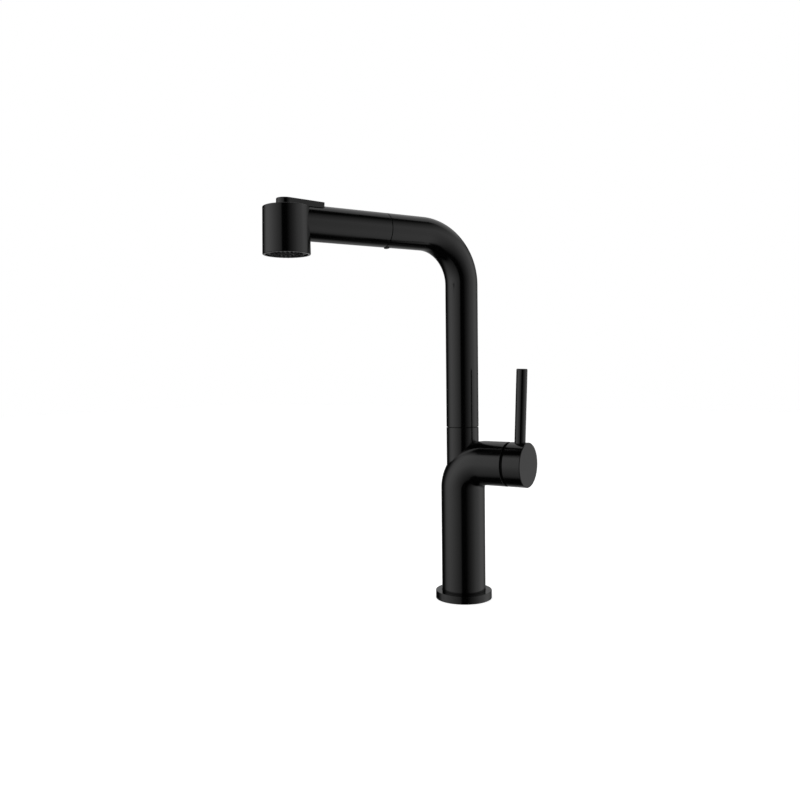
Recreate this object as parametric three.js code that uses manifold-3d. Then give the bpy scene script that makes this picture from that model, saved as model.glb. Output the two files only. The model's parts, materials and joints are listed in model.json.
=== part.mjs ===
// Single-lever kitchen faucet with a pull-out spray head, as separate pieces.
// Millimetres, +Z up. The origin is on the riser's axis, on the deck the faucet stands on.
// The handle's axis points along +X, straight ahead over the sink is -Y.

import * as THREE from "three";
import { mergeVertices } from "three/addons/utils/BufferGeometryUtils.js";
import Module from "manifold-3d";

const wasm = await Module();
wasm.setup();

// ---- Driving sizes -------------------------------------------------------------------------

const gap = 0.3; // between pieces that touch or fit in each other
const overshoot = 5; // how far a cutting tool runs past a face

// Spout
const armHeight = 359.6; // deck to the arm's axis
const sprayReach = 187; // riser axis to spray head axis
const spoutRadius = 16;
const spoutWall = 1.4;
const spoutBend = 47; // centre line of the bend
const spoutTurn = -26.4; // degrees from straight ahead, where the spout stands
const seamReach = 88; // where the spray head parts from the arm
const seamWidth = 0.6;

// Body
const bodyRadius = 21.75;
const bodyWall = 3.85;
const elbowCorner = 4.25; // radius inside the elbow
const handleHeight = 136.5; // deck to the handle's axis
const barrelReach = bodyRadius + 28.45; // riser axis to the barrel's end, past the elbow
const barrelEdge = 0.5;
const neckRise = 34.9; // handle axis to the neck's top
const neckOverlap = 20; // how far the neck reaches down into the elbow
const footHeight = 26; // solid foot that takes the shank

// Base and fixing
const flangeRadius = 28;
const flangeHeight = 8;
const flangeRecess = 1; // the body stands this deep in the flange
const gasketInner = 19;
const gasketOuter = 23;
const gasketGroove = 1.6;
const shankRadius = 16.5;
const shankBore = 13.6;
const shankLength = 62; // below the deck
const deckThickness = 30; // worktop between the gasket and the clamp
const clampRadius = 26.5;
const nutAcrossFlats = 44;

// Swivel
const spigotRadius = 11;
const spigotRise = 35; // above the riser's foot
const bushSpace = 1.9; // between the spigot and the spout's sleeve
const washerHeight = 1.8;

// Hose and water ways
const hoseRadius = 6.5;
const hoseClearance = 1;
const ferruleWall = 1.2;
const nippleRadius = 4;
const portRadius = 2.4;
const portCircle = 13.4; // distance of the nipples from the riser's axis

// Cartridge and handle
const pivotDepth = 13.2; // barrel end back to the handle's tilt axis
const grooveWidth = 2.4; // between the barrel and the cap
const capLength = 18.4;
const rodRadius = 5.3;
const rodPlace = 9.5; // cap's rear rim to the rod's axis
const rodRise = 92.2; // handle axis to the rod's top
const rodLean = 2.06; // degrees outwards
const spindleRadius = 4;
const spindleDepth = 13.1; // into the cap, from its rear rim
const ballRadius = 1.8;
const ballReach = 4; // tilt axis to the centre of the spindle's ball
const hubClearance = 3.4; // tilt axis to the moving disc
const discThickness = 3.5;
const baseThickness = 4;
const carrierReach = 4.3; // tilt axis to the carrier's front
const housingWall = 2.4;
const nutDepth = 3.7;
const tiltLimit = 22; // degrees, the opening that the slots allow
const spindlePin = { radius: 1.25, half: 12 };

// Spray head
const headRadius = 21.1; // at its lower edge
const headTaper = 0.5; // how much slimmer it is at the top
const headBelow = 29.2; // its lower edge below the arm's axis
const headSink = 3.6; // its top below the top of the arm
const headWall = 2.4;
const headRoof = 6;
const nozzleCircles = [
  { radius: 13, count: 21 },
  { radius: 9.2, count: 15 },
];
const nozzleRadius = 1.1;
const nozzleReach = 1; // how far the rubber nozzles stand out below the head
const aeratorRadius = 7;
const springWell = 5.1;
const stemRadius = 2.5;

// Mode button
const buttonRadius = 8.7; // its round front end, on the spray head's axis
const buttonLength = 33.4; // from there to its square back end
const buttonHinge = 3.9; // its back end to its pivot
const buttonRise = 2.9; // its top above the pivot
const buttonDrop = 3.2; // its underside below the pivot
const buttonTilt = 2.2; // degrees, front end up when it isn't pressed
const buttonCorner = 0.8;
const pocketDepth = 5; // below the top of the arm
const lugHalf = 2.5;
const pinRadius = 1;

// ---- Values that follow from them ------------------------------------------------------------

const bodyBore = bodyRadius - bodyWall;
const bodyFoot = flangeHeight - flangeRecess + gap;
const elbowBend = bodyRadius + elbowCorner;
const neckTop = handleHeight + neckRise;
const riserFoot = neckTop + seamWidth;
const spoutBore = spoutRadius - spoutWall;
const spoutEnd = seamReach - seamWidth / 2;
const headStart = seamReach + seamWidth / 2;

const spigotBore = hoseRadius + 2;
const sleeveBore = spigotRadius + bushSpace;
const bushRadius = sleeveBore - gap;
const spigotTop = riserFoot + spigotRise;
const washerRadius = spoutRadius - 1.5;
const hoseFoot = -shankLength - 4;
const ferruleRadius = hoseRadius + gap + ferruleWall;

const pivotReach = barrelReach - pivotDepth;
const capRadius = bodyRadius - 0.1;
const capStart = barrelReach + grooveWidth;
const capEnd = capStart + capLength;
const rodReach = capStart + rodPlace;
const capRecess = Math.hypot(pivotDepth - barrelEdge, bodyRadius) + 2 * gap; // sphere round the tilt axis
const domeRadius = capRecess - 1.6;
const domeRim = bodyRadius - 1.95;
const domeBack = barrelReach - 1.9;
const spindleEnd = capStart + spindleDepth;
const movingDiscFront = pivotReach - hubClearance;
const movingDiscBack = movingDiscFront - discThickness;
const fixedDiscFront = movingDiscBack - gap;
const fixedDiscBack = fixedDiscFront - discThickness;
const baseFront = fixedDiscBack - gap;
const baseBack = baseFront - baseThickness;
const blockFront = baseBack - gap;
const blockFoot = handleHeight - 12.2;
const carrierBack = movingDiscFront + gap;
const carrierFront = pivotReach + carrierReach;
const housingFront = carrierFront + gap + housingWall;
const housingRadius = bodyBore - 0.5;
const housingBore = housingRadius - housingWall;

const armTop = armHeight + spoutRadius;
const headTop = armTop - headSink;
const headBottom = armHeight - headBelow;
const headCavity = headRadius - headWall;
const headCeiling = headTop - headRoof;
const pocketFloor = armTop - pocketDepth;
const buttonBack = sprayReach - buttonLength;
const buttonPivot = buttonBack + buttonHinge;
const buttonPivotHeight = armTop - 0.65;
const buttonReach = sprayReach - buttonPivot;
const stemTop = buttonPivotHeight - buttonDrop - gap + buttonReach * Math.tan((buttonTilt * Math.PI) / 180);
const plateFoot = headBottom + 0.6;
const plateTop = plateFoot + 2.8;
const matTop = plateTop + gap + 1.5;
const dividerFoot = matTop + gap;
const waterwayFoot = dividerFoot + 3.4;
const neckBoreRadius = 9.5; // narrow bore of the spray head's handle, under the button
const wideBoreEnd = seamReach + 50;
const waterwayStart = seamReach + 30.3;
const waterwayShoulder = waterwayStart + 6;
const ferruleStart = seamReach + 14;

// ---- Materials --------------------------------------------------------------------------------

const finish = (color, roughness, metalness) =>
  new THREE.MeshStandardMaterial({ color, roughness, metalness });
const satinBlack = finish(0x1b1b1c, 0.38, 0.1);
const blackPlastic = finish(0x121213, 0.55, 0);
const blackRubber = finish(0x0d0d0d, 0.8, 0);
const brass = finish(0xb58f4a, 0.35, 1);
const steel = finish(0xa9abad, 0.3, 1);
const whitePlastic = finish(0xd9d8d2, 0.5, 0);
const ceramic = finish(0xe9e6df, 0.25, 0);
const greyBraid = finish(0x6f7174, 0.6, 0.2);

// ---- Solids -----------------------------------------------------------------------------------

// A closed geometry as a manifold solid whose faces point out.
function solid(geometry) {
  const bare = geometry.clone();
  bare.deleteAttribute("normal");
  bare.deleteAttribute("uv");
  const merged = mergeVertices(bare, 1e-4);
  const index = merged.index.array;
  const faces = [];
  for (let i = 0; i < index.length; i += 3) {
    const [a, b, c] = [index[i], index[i + 1], index[i + 2]];
    if (a !== b && b !== c && c !== a) faces.push(a, b, c);
  }
  const build = (list) =>
    new wasm.Manifold(
      new wasm.Mesh({
        numProp: 3,
        vertProperties: new Float32Array(merged.attributes.position.array),
        triVerts: new Uint32Array(list),
      }),
    );
  const made = build(faces);
  return made.volume() > 0 ? made : build(faces.reverse());
}

// A manifold solid as a named mesh.
function mesh(name, material, body) {
  const data = body.getMesh();
  const geometry = new THREE.BufferGeometry();
  geometry.setAttribute("position", new THREE.BufferAttribute(data.vertProperties, 3));
  geometry.setIndex(new THREE.BufferAttribute(data.triVerts, 1));
  const made = new THREE.Mesh(geometry, material);
  made.name = name;
  return made;
}

const degrees = THREE.MathUtils.degToRad;
const roundSides = 20;
const smallSides = 12;
const largeSides = 32;

// A profile of [radius, height] turned about Z. A closed ring repeats its first point.
function turned(profile, segments = roundSides) {
  const points = profile.map(([r, h]) => new THREE.Vector2(r, h));
  return solid(new THREE.LatheGeometry(points, segments).rotateX(Math.PI / 2));
}

// A ring or tube about Z, or a plain disc where the inner radius is 0.
function ring(inner, outer, bottom, top, segments = roundSides) {
  const profile = [
    [inner, bottom],
    [outer, bottom],
    [outer, top],
    [inner, top],
  ];
  if (inner > 0) profile.push([inner, bottom]);
  return turned(profile, segments);
}

const rod = (radius, bottom, top, segments = roundSides) => ring(0, radius, bottom, top, segments);

// The same solid with its Z axis laid along +X.
const alongX = (body) => body.rotate([0, 90, 0]);
const alongY = (body) => body.rotate([-90, 0, 0]);
const ringX = (inner, outer, from, to, segments) => alongX(ring(inner, outer, from, to, segments));
const rodX = (radius, from, to, segments) => alongX(rod(radius, from, to, segments));

function block(from, to) {
  const size = to.map((value, i) => value - from[i]);
  const middle = to.map((value, i) => (value + from[i]) / 2);
  return solid(new THREE.BoxGeometry(...size).translate(...middle));
}

function torus(major, minor, height) {
  return solid(new THREE.TorusGeometry(major, minor, 6, roundSides).translate(0, 0, height));
}

const joined = (...bodies) => bodies.reduce((sum, body) => sum.add(body));
const cut = (body, ...tools) => tools.reduce((rest, tool) => rest.subtract(tool), body);

// Points of an arc in a profile, about a centre on the axis at the given height.
function arcProfile(radius, height, fromAngle, toAngle, steps) {
  return Array.from({ length: steps + 1 }, (_, i) => {
    const angle = fromAngle + ((toAngle - fromAngle) * i) / steps;
    return [radius * Math.sin(angle), height + radius * Math.cos(angle)];
  });
}

// A path up the Z axis, round a quarter bend and out along +X.
class BentPath extends THREE.Curve {
  constructor(foot, bend, height, reach, steps) {
    super();
    Object.assign(this, { foot, bend, height, reach, steps });
  }
  // The bend takes all steps but the first and the last, which are the straight legs.
  angleAt(u) {
    const step = THREE.MathUtils.clamp(u * this.steps - 1, 0, this.steps - 2);
    return ((step / (this.steps - 2)) * Math.PI) / 2;
  }
  getPointAt(u, target = new THREE.Vector3()) {
    const { foot, bend, height, reach, steps } = this;
    if (u * steps < 0.5) return target.set(0, 0, foot);
    if (u * steps > steps - 0.5) return target.set(reach, 0, height);
    const angle = this.angleAt(u);
    return target.set(bend - bend * Math.cos(angle), 0, height - bend + bend * Math.sin(angle));
  }
  getTangentAt(u, target = new THREE.Vector3()) {
    const angle = this.angleAt(u);
    return target.set(Math.sin(angle), 0, Math.cos(angle));
  }
}

// A round bar that stands on Z at the foot, bends and ends at the reach.
function bentBar(radius, foot, bend, height, reach, { bendSteps = 8, sides = largeSides } = {}) {
  const section = new THREE.Shape().absarc(0, 0, radius, 0, Math.PI * 2);
  const steps = bendSteps + 2;
  const extrudePath = new BentPath(foot, bend, height, reach, steps);
  return solid(
    new THREE.ExtrudeGeometry(section, { steps, curveSegments: sides / 2, extrudePath }),
  );
}

function hexagon(acrossFlats, bore, bottom, top) {
  const outer = rod(acrossFlats / Math.sqrt(3), bottom, top, 6);
  return bore > 0 ? cut(outer, rod(bore, bottom - overshoot, top + overshoot)) : outer;
}

// ---- Base and fixing ---------------------------------------------------------------------------

function baseFlange() {
  const edge = 0.5;
  const groove = ring(gasketInner, gasketOuter, -overshoot, gasketGroove);
  const bodyRecess = rod(bodyRadius + gap, flangeHeight - flangeRecess, flangeHeight + overshoot, largeSides);
  const plate = turned([
    [0, 0],
    [flangeRadius - edge, 0],
    [flangeRadius, edge],
    [flangeRadius, flangeHeight - edge],
    [flangeRadius - edge, flangeHeight],
    [0, flangeHeight],
  ], largeSides);
  const shankHole = rod(shankRadius + gap, -overshoot, flangeHeight + overshoot);
  return cut(plate, groove, bodyRecess, shankHole);
}

const baseGasket = () => ring(gasketInner + gap, gasketOuter - gap, 0, gasketGroove - gap);
const shank = () => ring(shankBore, shankRadius, -shankLength, footHeight - gap, roundSides);

function fixingPieces() {
  const bore = shankRadius + gap;
  const rubberFoot = -deckThickness - 3;
  const plateTop = rubberFoot - gap;
  const plateFoot = plateTop - 1.8;
  const nutTop = plateFoot - gap;
  return [
    mesh("clamp_rubber", blackRubber, ring(bore, clampRadius, rubberFoot, -deckThickness)),
    mesh("clamp_washer", steel, ring(bore, clampRadius, plateFoot, plateTop)),
    mesh("shank_nut", brass, hexagon(nutAcrossFlats, bore, nutTop - 10, nutTop)),
  ];
}

// A bush in the shank's mouth that centres the hose and leaves room at both sides.
function hoseGuide() {
  const bottom = -shankLength - 2;
  const top = bottom + 7;
  const inner = hoseRadius + 0.4;
  const wings = block([gap - shankBore, -3, bottom], [shankBore - gap, 3, top]);
  const trimmed = wings.intersect(rod(shankBore - gap, bottom, top));
  return cut(joined(rod(inner + 1, bottom, top), trimmed), rod(inner, -overshoot + bottom, top + overshoot));
}

function hoseTail() {
  const top = hoseFoot - gap;
  return joined(hexagon(14, 0, top - 9, top), rod(5.5, top - 20, top - 8.9, smallSides));
}

// ---- Body --------------------------------------------------------------------------------------

function bodyShell() {
  const chamfer = 0.4;
  const outer = bentBar(bodyRadius, bodyFoot, elbowBend, handleHeight, barrelReach);
  const neck = turned([
    [0, handleHeight - neckOverlap],
    [spoutRadius, handleHeight - neckOverlap],
    [spoutRadius, neckTop - chamfer],
    [spoutRadius - chamfer, neckTop],
    [0, neckTop],
  ]);
  const inner = bentBar(bodyBore, footHeight, elbowBend, handleHeight, barrelReach + overshoot);
  const shankHole = rod(shankRadius + gap, bodyFoot - overshoot, footHeight + overshoot);
  const neckBore = rod(spigotRadius + gap, handleHeight, neckTop + overshoot);
  const washerSeat = rod(washerRadius + gap, neckTop - washerHeight, neckTop + overshoot);
  const domeSeat = rodX(domeRim + gap, domeBack - gap, barrelReach + overshoot);
  return cut(
    joined(outer, neck),
    inner,
    shankHole,
    neckBore,
    washerSeat,
    domeSeat.translate([0, 0, handleHeight]),
  );
}

// The three water ways: hot and cold in at the sides, mixed water out in the middle.
const ways = [
  { name: "hot", angle: 45, portHeight: handleHeight - 5.5, portSide: 9.5 },
  { name: "cold", angle: -45, portHeight: handleHeight - 5.5, portSide: -9.5 },
  { name: "outlet", angle: 0, portHeight: handleHeight + 8, portSide: 0 },
];
const wayX = (way) => portCircle * Math.cos(degrees(way.angle));
const wayY = (way) => portCircle * Math.sin(degrees(way.angle));
function valveBlock() {
  const fill = bentBar(bodyBore - gap, footHeight, elbowBend, handleHeight, barrelReach);
  const extent = block([5, -bodyBore, blockFoot], [blockFront, bodyBore, handleHeight + bodyBore]);
  const hoseWay = rod(hoseRadius + hoseClearance, blockFoot - overshoot, handleHeight + 30);
  const spigotWay = rod(spigotRadius + 2 * gap, handleHeight + 13, handleHeight + 30);
  const drills = ways.flatMap((way) => {
    const down = rod(portRadius, blockFoot - overshoot, way.portHeight, smallSides);
    const across = rodX(portRadius, wayX(way), blockFront + overshoot, smallSides);
    return [
      down.translate([wayX(way), wayY(way), 0]),
      across.translate([0, way.portSide, way.portHeight]),
    ];
  });
  return cut(fill.intersect(extent), hoseWay, spigotWay, ...drills);
}

function nipple(way) {
  const length = 16;
  const top = blockFoot - gap;
  const tube = ring(portRadius, nippleRadius, top - length, top, smallSides);
  return mesh(way.name + "_nipple", brass, tube.translate([wayX(way), wayY(way), 0]));
}

// ---- Swivel between body and spout -----------------------------------------------------------------

const swivelSleeve = () => ring(sleeveBore, spoutBore - gap, riserFoot, spigotTop + 1);

function swivelPieces() {
  const spigot = ring(spigotBore, spigotRadius, handleHeight + 13.5, spigotTop);
  const washerFoot = neckTop - washerHeight + gap;
  const washer = ring(spigotRadius + gap, washerRadius, washerFoot, riserFoot - gap);
  const bush = (bottom) => ring(spigotRadius + gap, bushRadius, bottom, bottom + 6);
  const seal = (height) => torus((spigotRadius + sleeveBore) / 2, 0.65, height);
  const clipOpening = block([0, -4, spigotTop - overshoot], [20, 4, spigotTop + overshoot]);
  const clip = ring(spigotRadius + gap, bushRadius, spigotTop - 3, spigotTop - 1.8);
  return [
    mesh("swivel_spigot", brass, spigot),
    mesh("thrust_washer", blackPlastic, washer),
    mesh("lower_bush", whitePlastic, bush(riserFoot + 2)),
    mesh("lower_seal", blackRubber, seal(riserFoot + 12)),
    mesh("upper_seal", blackRubber, seal(riserFoot + 19)),
    mesh("upper_bush", whitePlastic, bush(riserFoot + 24.5)),
    mesh("retaining_clip", steel, cut(clip, clipOpening)),
  ];
}

// ---- Spout ---------------------------------------------------------------------------------------

const keyWidth = 5;
const keyLength = 4;

function spoutTube() {
  const outer = bentBar(spoutRadius, riserFoot, spoutBend, armHeight, spoutEnd);
  const inner = bentBar(spoutBore, riserFoot - overshoot, spoutBend, armHeight, spoutEnd + overshoot);
  const half = keyWidth / 2 + gap;
  const notch = block(
    [spoutEnd - keyLength - gap, -half, armHeight - spoutRadius - overshoot],
    [spoutEnd + overshoot, half, armHeight - 8],
  );
  return cut(outer, inner, notch);
}

// A collar in the arm's mouth, with a key below that holds the spray head upright.
function dockingCollar() {
  const outer = spoutBore - gap;
  const collar = ringX(10.5, outer, seamReach - 18, spoutEnd - 0.5);
  const key = block(
    [spoutEnd - keyLength, -keyWidth / 2, -spoutRadius - 1],
    [spoutEnd - 0.5, keyWidth / 2, 1 - outer],
  );
  return joined(collar, key).translate([0, 0, armHeight]);
}

function pulloutHose() {
  return bentBar(hoseRadius, hoseFoot, spoutBend, armHeight, seamReach + 24, { sides: smallSides });
}

// ---- Spray head -------------------------------------------------------------------------------------

// The button's outline seen from above, grown by an allowance for the pocket.
function buttonOutline(allowance) {
  const half = buttonRadius + allowance;
  const back = buttonBack - allowance;
  const corner = buttonCorner;
  const outline = new THREE.Shape();
  outline.moveTo(back + corner, -half);
  outline.lineTo(sprayReach, -half);
  outline.absarc(sprayReach, 0, half, -Math.PI / 2, Math.PI / 2, false);
  outline.lineTo(back + corner, half);
  outline.absarc(back + corner, half - corner, corner, Math.PI / 2, Math.PI, false);
  outline.lineTo(back, corner - half);
  outline.absarc(back + corner, corner - half, corner, Math.PI, Math.PI * 1.5, false);
  return outline;
}

function extruded(shape, bottom, top) {
  const geometry = new THREE.ExtrudeGeometry(shape, {
    depth: top - bottom,
    bevelEnabled: false,
    curveSegments: 10,
  });
  return solid(geometry.translate(0, 0, bottom));
}

const onHeadAxis = (body) => body.translate([sprayReach, 0, 0]);

function headShell() {
  const edge = 1;
  const corner = (radius, height, from) =>
    arcProfile(edge, height, from, from + Math.PI / 2, 2).map(([r, h]) => [r + radius - edge, h]);
  const upperEdge = corner(headRadius - headTaper, headTop - edge, 0);
  const lowerEdge = corner(headRadius, headBottom + edge, Math.PI / 2);
  const head = turned([[0, headTop], ...upperEdge, ...lowerEdge, [0, headBottom]], largeSides);
  const handle = rodX(spoutRadius, headStart, sprayReach, largeSides).translate([0, 0, armHeight]);
  const bore = joined(
    rodX(spoutBore - 0.4, headStart - overshoot, wideBoreEnd),
    rodX(neckBoreRadius, wideBoreEnd - 1, sprayReach - headCavity + 2),
  );
  const cavity = rod(headCavity, headBottom - overshoot, headCeiling);
  const pocket = extruded(buttonOutline(0.4), pocketFloor, headTop + 20);
  const well = joined(
    rod(springWell, pocketFloor - 3.2, pocketFloor + 1),
    rod(stemRadius + gap, headCeiling - 1, pocketFloor, smallSides),
  );
  const lug = block(
    [buttonPivot - 2, -lugHalf, pocketFloor - 1],
    [buttonPivot + 2, lugHalf, buttonPivotHeight + 1.5],
  );
  const pinHole = alongY(rod(pinRadius + gap, -lugHalf - 1, lugHalf + 1, smallSides));
  const hollow = cut(
    joined(onHeadAxis(head), handle),
    bore.translate([0, 0, armHeight]),
    onHeadAxis(cavity),
    pocket,
    onHeadAxis(well),
  );
  return cut(joined(hollow, lug), pinHole.translate([buttonPivot, 0, buttonPivotHeight]));
}

function dockingTenon() {
  const inner = hoseRadius + hoseClearance + 0.3;
  const outer = spoutBore - 0.4 - gap;
  const flangeBack = headStart + 0.7;
  return joined(
    ringX(inner, 10.2, seamReach - 16, flangeBack + 1),
    ringX(inner, outer, flangeBack, flangeBack + 4),
  ).translate([0, 0, armHeight]);
}

const hoseFerrule = () => ringX(hoseRadius + gap, ferruleRadius, ferruleStart, waterwayStart - 2.3);
const hoseSeal = () => ringX(5, ferruleRadius, waterwayStart - 2, waterwayStart - gap);

function hoseNut() {
  const nut = hexagon(2 * ferruleRadius + 4, ferruleRadius + gap, waterwayStart - 10, waterwayShoulder - gap);
  return alongX(nut);
}

function waterway() {
  const inlet = joined(
    rodX(ferruleRadius, waterwayStart, waterwayShoulder + 1),
    rodX(neckBoreRadius - gap, waterwayShoulder, sprayReach - headCavity - 2),
    rodX(6, sprayReach - headCavity - 3, sprayReach),
  ).translate([0, 0, armHeight]);
  const tower = onHeadAxis(rod(12, waterwayFoot, headCeiling - 2));
  const inletBore = joined(
    rodX(5.5, waterwayStart - overshoot, waterwayStart + 13),
    rodX(5, waterwayStart + 12, sprayReach),
  ).translate([0, 0, armHeight]);
  const valveBore = onHeadAxis(rod(6, waterwayFoot - overshoot, waterwayFoot + 12));
  const stemBore = onHeadAxis(rod(stemRadius + gap, waterwayFoot, headCeiling, smallSides));
  return cut(joined(inlet, tower), inletBore, valveBore, stemBore);
}

function checkValve() {
  return rodX(5.2, waterwayStart + 0.7, waterwayStart + 12).translate([0, 0, armHeight]);
}

function diverterStem() {
  const disc = rod(5.6, waterwayFoot + 6, waterwayFoot + 9);
  return onHeadAxis(joined(rod(stemRadius, waterwayFoot + 4, stemTop, smallSides), disc));
}

function nozzlePlaces() {
  return nozzleCircles.flatMap(({ radius, count }) =>
    Array.from({ length: count }, (_, i) => {
      const angle = (i / count) * Math.PI * 2;
      return [radius * Math.cos(angle), radius * Math.sin(angle), 0];
    }),
  );
}

function nozzlePlate() {
  const plate = ring(aeratorRadius + gap, headCavity - gap, plateFoot, plateTop);
  const holes = nozzlePlaces().map((place) =>
    rod(nozzleRadius + gap, plateFoot - 1, plateTop + 1, 6).translate(place),
  );
  return onHeadAxis(cut(plate, ...holes));
}

function nozzleMat() {
  const mat = ring(aeratorRadius + 2 * gap, headCavity - gap, plateTop + gap, matTop);
  const nozzles = nozzlePlaces().map((place) =>
    rod(nozzleRadius, headBottom - nozzleReach, matTop - 0.5, 6).translate(place),
  );
  return onHeadAxis(joined(mat, ...nozzles));
}

const aerator = () => onHeadAxis(rod(aeratorRadius, headBottom + 0.2, matTop - gap));

function flowDivider() {
  const disc = ring(5.4, headCavity - gap, dividerFoot, waterwayFoot - gap);
  const holes = Array.from({ length: 8 }, (_, i) =>
    rod(1.5, dividerFoot - 1, waterwayFoot, 6)
      .translate([14.6, 0, 0])
      .rotate([0, 0, i * 45]),
  );
  return onHeadAxis(cut(disc, ...holes));
}

function buttonPlate() {
  const plate = extruded(buttonOutline(0), -buttonDrop, buttonRise).translate([-buttonPivot, 0, 0]);
  const slot = block([-2.6, -lugHalf - 0.4, -buttonDrop - 1], [2.6, lugHalf + 0.4, 1.9]);
  const pinHole = alongY(rod(pinRadius + gap, -6.8, 6.8, smallSides));
  return cut(plate, slot, pinHole)
    .rotate([0, -buttonTilt, 0])
    .translate([buttonPivot, 0, buttonPivotHeight]);
}

function buttonPin() {
  return alongY(rod(pinRadius, -6.5, 6.5, 12)).translate([buttonPivot, 0, buttonPivotHeight]);
}

class Helix extends THREE.Curve {
  constructor(radius, bottom, top, turns) {
    super();
    Object.assign(this, { radius, bottom, top, turns });
  }
  getPoint(t, target = new THREE.Vector3()) {
    const angle = t * this.turns * Math.PI * 2;
    const height = THREE.MathUtils.lerp(this.bottom, this.top, t);
    return target.set(this.radius * Math.cos(angle), this.radius * Math.sin(angle), height);
  }
}

function buttonSpring() {
  const wire = 0.35;
  const turns = 4;
  const bottom = pocketFloor - 3.2 + gap + wire;
  const extrudePath = new Helix(4, bottom, stemTop - wire, turns);
  const section = new THREE.Shape().absarc(0, 0, wire, 0, Math.PI * 2);
  const geometry = new THREE.ExtrudeGeometry(section, { steps: turns * 9, curveSegments: 3, extrudePath });
  return onHeadAxis(solid(geometry));
}

// ---- Cartridge, along +X from the riser's axis -------------------------------------------------------

const wayDrills = (from, to, radius) =>
  ways.map((way) =>
    rodX(radius, from, to, smallSides).translate([0, way.portSide, way.portHeight - handleHeight]),
  );

const sealSeat = { radius: 4.4, depth: 1.6 };

function cartridgeBase() {
  return cut(
    rodX(housingRadius, baseBack, baseFront),
    ...wayDrills(baseBack - overshoot, baseFront + overshoot, portRadius),
    ...wayDrills(baseBack - overshoot, baseBack + sealSeat.depth, sealSeat.radius),
  );
}

function portSeal(way) {
  const front = baseBack + sealSeat.depth - gap;
  const seal = ringX(portRadius, sealSeat.radius - gap, baseBack, front, smallSides);
  const place = [0, way.portSide, way.portHeight - handleHeight];
  return mesh(way.name + "_port_seal", blackRubber, seal.translate(place));
}

function fixedDisc() {
  const disc = rodX(housingBore - 0.5, baseFront + gap, fixedDiscFront);
  return cut(disc, ...wayDrills(baseFront - overshoot, fixedDiscFront + overshoot, portRadius));
}

function movingDisc() {
  const bottom = pivotReach - ballReach - ballRadius - gap;
  const socket = rodX(ballRadius + gap, bottom, movingDiscFront + overshoot, smallSides);
  return cut(rodX(11.5, movingDiscBack, movingDiscFront), socket);
}

function cartridgeHousing() {
  const opening = 9.8;
  return alongX(
    turned([
      [housingBore, baseFront + gap],
      [housingRadius, baseFront + gap],
      [housingRadius, housingFront],
      [opening, housingFront],
      [opening, housingFront - housingWall],
      [housingBore, housingFront - housingWall],
      [housingBore, baseFront + gap],
    ]),
  );
}

const cartridgeNut = () => ringX(11, bodyBore - gap, housingFront + gap, housingFront + gap + nutDepth);

function carrier() {
  const front = carrierFront - pivotReach;
  const dip = front * Math.tan(degrees(tiltLimit)) + spindleRadius / Math.cos(degrees(tiltLimit));
  const side = spindleRadius + 0.4;
  const slot = block([carrierBack - 1, -side, -dip - 0.4], [carrierFront + 1, side, side]);
  const pinHole = alongY(rod(spindlePin.radius + gap, -20, 20, smallSides)).translate([pivotReach, 0, 0]);
  return cut(rodX(housingBore - 0.4, carrierBack, carrierFront), slot, pinHole);
}

function spindlePinBody() {
  const { radius, half } = spindlePin;
  return alongY(rod(radius, -half, half, smallSides)).translate([pivotReach, 0, 0]);
}

// ---- Handle ------------------------------------------------------------------------------------------

function spindle() {
  const sphere = (radius, reach) =>
    solid(new THREE.SphereGeometry(radius, 16, 10)).translate([reach, 0, 0]);
  const hubRadius = pivotReach - movingDiscFront - 0.5;
  return cut(
    joined(
      sphere(ballRadius, pivotReach - ballReach),
      sphere(hubRadius, pivotReach),
      rodX(1.2, pivotReach - ballReach, pivotReach, 12),
      rodX(spindleRadius, pivotReach - 0.4, spindleEnd),
    ),
    alongY(rod(spindlePin.radius + gap, -10, 10, smallSides)).translate([pivotReach, 0, 0]),
  );
}

function domeCover() {
  const wall = 1.6;
  const opening = 13.8;
  const open = Math.asin(opening / domeRadius);
  const seated = Math.asin((domeRim - 0.1) / domeRadius);
  const outside = arcProfile(domeRadius, pivotReach, seated, open, 3);
  const inside = arcProfile(domeRadius - wall, pivotReach, open, seated, 3);
  const foot = [domeRim - wall, domeBack];
  return alongX(turned([foot, [domeRim, domeBack], ...outside, ...inside, foot], roundSides));
}

// The rod's axis: it leaves the cap at rodReach and leans outwards.
function rodPlaced(body) {
  return body.rotate([0, rodLean, 0]).translate([rodReach, 0, capRadius]);
}

const rodSink = 4.2; // how deep the rod stands in the cap
const studRadius = 2.5;
const studSink = 7.2;
const capScrew = { reach: capStart + 11.7, radius: 2 };

function handleCap() {
  const faceEdge = 0.6;
  const rearEdge = 0.4;
  const open = Math.acos((capStart - pivotReach) / capRecess);
  const cap = alongX(
    turned(
      [
        ...arcProfile(capRecess, pivotReach, 0, open, 5),
        [capRadius - rearEdge, capStart],
        [capRadius, capStart + rearEdge],
        [capRadius, capEnd - faceEdge],
        [capRadius - faceEdge, capEnd],
        [0, capEnd],
      ],
      largeSides,
    ),
  );
  const socket = rodX(spindleRadius + gap, pivotReach, spindleEnd + gap);
  const rodHole = rodPlaced(rod(rodRadius + gap, -rodSink, overshoot * 2));
  const studHole = rodPlaced(rod(studRadius + gap, -studSink, 0, smallSides));
  const screwHole = rod(capScrew.radius + gap, -capRadius - 1, -spindleRadius, smallSides);
  return cut(cap, socket, rodHole, studHole, screwHole.translate([capScrew.reach, 0, 0]));
}

function leverRod() {
  const tip = 0.6;
  const length = (rodRise - capRadius) / Math.cos(degrees(rodLean));
  const foot = gap - rodSink;
  const bar = turned(
    [
      [0, foot],
      [rodRadius, foot],
      [rodRadius, length - tip],
      [rodRadius - tip, length],
      [0, length],
    ],
    roundSides,
  );
  return rodPlaced(joined(bar, rod(studRadius, gap - studSink, foot + 1, smallSides)));
}

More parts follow.
